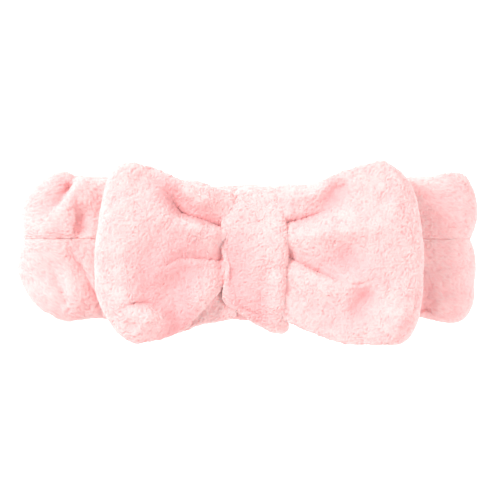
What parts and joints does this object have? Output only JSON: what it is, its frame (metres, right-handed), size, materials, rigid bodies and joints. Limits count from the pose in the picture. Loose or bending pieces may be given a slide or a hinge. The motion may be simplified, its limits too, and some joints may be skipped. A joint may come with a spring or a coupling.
{
  "type": "spa headband",
  "caption": "Stretch fleece spa headband with a plush bow, lying flat: a padded tube on an elastic loop, a knotted wrap, and bow loops that lift.",
  "frame": {"origin": "on the table, under the middle of the headband's bounding box", "axes": "+X to the right along the flattened loop, +Y up the face of the band, the way a head goes through the loop, +Z off the table, towards the bow"},
  "size_m": [0.228, 0.0862, 0.0728],
  "materials": {
    "fleece_pink": "high-pile coral fleece, soft pale pink, deeper pink in the folds",
    "elastic_white": "white knitted elastic webbing",
    "thread_pink": "pink polyester sewing thread"
  },
  "bodies": {
    "back": {"band_back": "fleece_pink", "elastic_back": "elastic_white", "stitches_back_outer": "thread_pink", "stitches_back_inner": "thread_pink"},
    "left_back": {"band_left_back": "fleece_pink", "elastic_left_back": "elastic_white", "stitches_left_back_outer": "thread_pink", "stitches_left_back_inner": "thread_pink"},
    "left_front": {"band_left_front": "fleece_pink", "elastic_left_front": "elastic_white", "stitches_left_front_outer": "thread_pink", "stitches_left_front_inner": "thread_pink"},
    "front": {"band_front_left": "fleece_pink", "elastic_front_left": "elastic_white", "stitches_front_left_outer": "thread_pink", "stitches_front_left_inner": "thread_pink", "closing_seam": "fleece_pink", "knot_wrap": "fleece_pink", "knot_closing_stitches": "thread_pink", "bow_core": "fleece_pink", "bow_gathering_tie": "thread_pink"},
    "front_right": {"band_front_right": "fleece_pink", "elastic_front_right": "elastic_white", "stitches_front_right_outer": "thread_pink", "stitches_front_right_inner": "thread_pink"},
    "right_back": {"band_right_back": "fleece_pink", "elastic_right_back": "elastic_white", "stitches_right_back_outer": "thread_pink", "stitches_right_back_inner": "thread_pink"},
    "right_front": {"band_right_front": "fleece_pink", "elastic_right_front": "elastic_white", "stitches_right_front_outer": "thread_pink", "stitches_right_front_inner": "thread_pink"},
    "bow_left": {"bow_left_loop": "fleece_pink"},
    "bow_right": {"bow_right_loop": "fleece_pink"}
  },
  "joints": [
    {"name": "loop_opening", "type": "hinge", "parent": "back", "child": "left_back", "pos_m": [-0.045, 0, 0.015], "axis": [0, 1, 0], "range_deg": [0, 40], "stiffness_Nm_per_rad": 0.3},
    {"name": "left_fold", "type": "hinge", "parent": "left_back", "child": "left_front", "pos_m": [-0.114, 0, 0.023], "axis": [0, 1, 0], "range_deg": [-80, 0]},
    {"name": "left_front_bend", "type": "hinge", "parent": "left_front", "child": "front", "pos_m": [-0.045, 0, 0.031], "axis": [0, 1, 0], "range_deg": [0, 40]},
    {"name": "right_back_bend", "type": "hinge", "parent": "back", "child": "right_back", "pos_m": [0.045, 0, 0.015], "axis": [0, -1, 0], "range_deg": [0, 40]},
    {"name": "right_fold", "type": "hinge", "parent": "right_back", "child": "right_front", "pos_m": [0.114, 0, 0.023], "axis": [0, -1, 0], "range_deg": [-80, 0]},
    {"name": "right_front_bend", "type": "hinge", "parent": "right_front", "child": "front_right", "pos_m": [0.045, 0, 0.031], "axis": [0, -1, 0], "range_deg": [0, 40]},
    {"name": "bow_left_lift", "type": "hinge", "parent": "front", "child": "bow_left", "pos_m": [-0.0188, 0, 0.0533], "axis": [0, 1, 0], "range_deg": [0, 50], "stiffness_Nm_per_rad": 0.02},
    {"name": "bow_right_lift", "type": "hinge", "parent": "front", "child": "bow_right", "pos_m": [0.0258, 0, 0.0533], "axis": [0, -1, 0], "range_deg": [0, 50], "stiffness_Nm_per_rad": 0.02}
  ],
  "couplings": [
    {"joint": "left_fold", "follows": "loop_opening", "ratio": -2},
    {"joint": "left_front_bend", "follows": "loop_opening", "ratio": 1},
    {"joint": "right_back_bend", "follows": "loop_opening", "ratio": 1},
    {"joint": "right_fold", "follows": "loop_opening", "ratio": -2},
    {"joint": "right_front_bend", "follows": "loop_opening", "ratio": 1}
  ]
}
